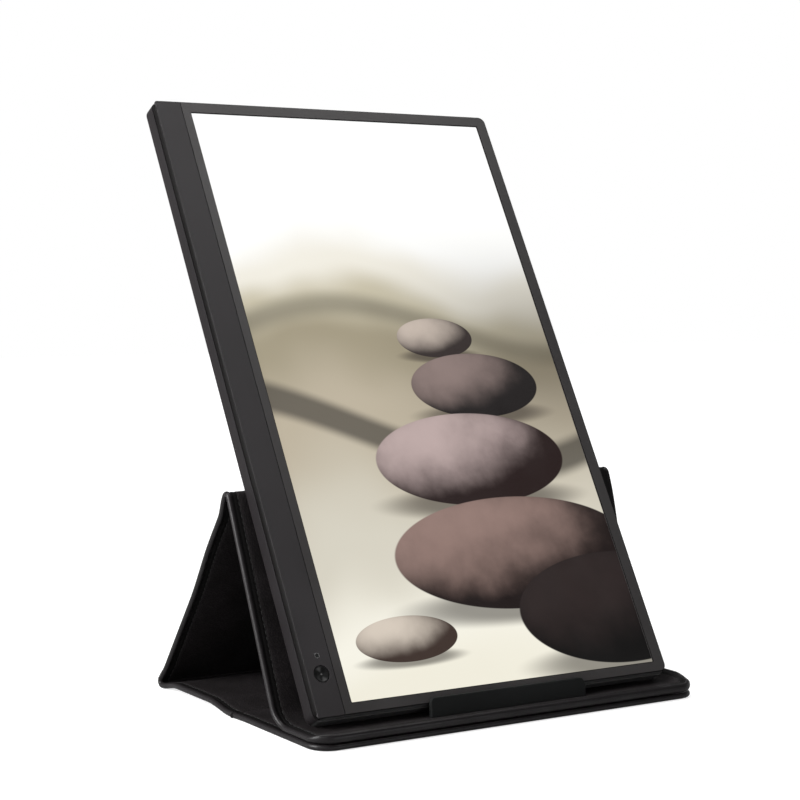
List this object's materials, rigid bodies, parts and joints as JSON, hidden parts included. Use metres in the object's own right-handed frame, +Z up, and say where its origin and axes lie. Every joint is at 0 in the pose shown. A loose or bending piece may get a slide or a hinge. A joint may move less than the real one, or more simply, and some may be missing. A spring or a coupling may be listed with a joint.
{
  "type": "portable monitor with folding cover",
  "caption": "Slim portable monitor standing upright on a folded leatherette cover: flat base, leg, backrest and flap with a stop lip; round power button on the chin.",
  "frame": {"origin": "on the floor under the middle of the whole object's box", "axes": "+X to the right seen from the front, +Y to the back, +Z up; the screen faces -Y and leans back"},
  "size_m": [0.2414, 0.2052, 0.3213],
  "materials": {
    "leatherette": "fine grain, satin",
    "stiff_board": "grey board",
    "magnet": "nickel plated",
    "lip_rubber": "matte",
    "housing_plastic": "fine satin texture",
    "frame_plastic": "satin",
    "chin_plastic": "satin",
    "screen_glass": "anti-glare, lit",
    "film_white": "matte white",
    "clear_acrylic": "clear",
    "tray_steel": "zinc plated sheet",
    "lamp_white": "white package",
    "flex_amber": "polyimide",
    "foam_tape": "foam",
    "circuit_board": "green solder mask",
    "chip_black": "moulded",
    "plated_steel": "nickel plated",
    "button_plastic": "satin"
  },
  "bodies": {
    "base_rear": {"base_rear_cover": "leatherette", "base_rear_board": "stiff_board", "middle_crease": "leatherette", "rear_fold": "leatherette"},
    "base_front": {"base_front_cover": "leatherette", "base_front_board": "stiff_board", "base_magnets": "magnet"},
    "leg": {"leg_cover": "leatherette", "leg_board": "stiff_board", "apex_fold": "leatherette"},
    "backrest": {"backrest_cover": "leatherette", "backrest_board": "stiff_board", "lower_fold": "leatherette"},
    "flap": {"flap_cover": "leatherette", "flap_board": "stiff_board", "flap_magnets": "magnet", "stop_lip": "lip_rubber"},
    "monitor": {"rear_housing": "housing_plastic", "front_frame": "frame_plastic", "chin_cover": "chin_plastic", "lcd_panel": "screen_glass", "diffuser_films": "film_white", "light_guide": "clear_acrylic", "reflector_sheet": "film_white", "backlight_tray": "tray_steel", "led_strip": "flex_amber", "backlight_leds": "lamp_white", "panel_tape": "foam_tape", "timing_board": "circuit_board", "timing_chips": "chip_black", "main_board": "circuit_board", "main_board_chips": "chip_black", "board_screws": "plated_steel", "display_ribbon": "flex_amber", "usb_c_shell": "plated_steel", "usb_c_tongue": "chip_black", "button_switch": "chip_black", "button_board": "circuit_board", "indicator_light_pipe": "clear_acrylic", "indicator_led": "lamp_white"},
    "power_button": {"power_button_cap": "button_plastic"}
  },
  "joints": [
    {"name": "base_crease", "type": "hinge", "parent": "base_rear", "child": "base_front", "pos_m": [0, -0.01623, 0.0016], "axis": [1, 0, 0], "range_deg": [0, 90], "deforming": ["middle_crease"]},
    {"name": "leg_fold", "type": "hinge", "parent": "base_rear", "child": "leg", "pos_m": [0, 0.06877, 0.0016], "axis": [-1, 0, 0], "range_deg": [0, 124.8], "deforming": ["rear_fold"]},
    {"name": "apex_hinge", "type": "hinge", "parent": "leg", "child": "backrest", "pos_m": [0, -0.01178, 0.1169], "axis": [-1, 0, 0], "range_deg": [0, 121.1], "deforming": ["apex_fold"]},
    {"name": "flap_hinge", "type": "hinge", "parent": "backrest", "child": "flap", "pos_m": [0, -0.06109, 0.0051], "axis": [1, 0, 0], "range_deg": [0, 66.2], "deforming": ["lower_fold"]},
    {"name": "monitor_lift", "type": "slide", "parent": "flap", "child": "monitor", "axis": [0, 0.5045, 0.8634], "range_m": [0, 0.37]},
    {"name": "power_press", "type": "slide", "parent": "monitor", "child": "power_button", "axis": [0, 0.8634, -0.5045], "range_m": [0, 0.0004], "stiffness_N_per_m": 800}
  ],
  "couplings": [
    {"joint": "flap_hinge", "follows": "apex_hinge", "ratio": 0.546}
  ]
}
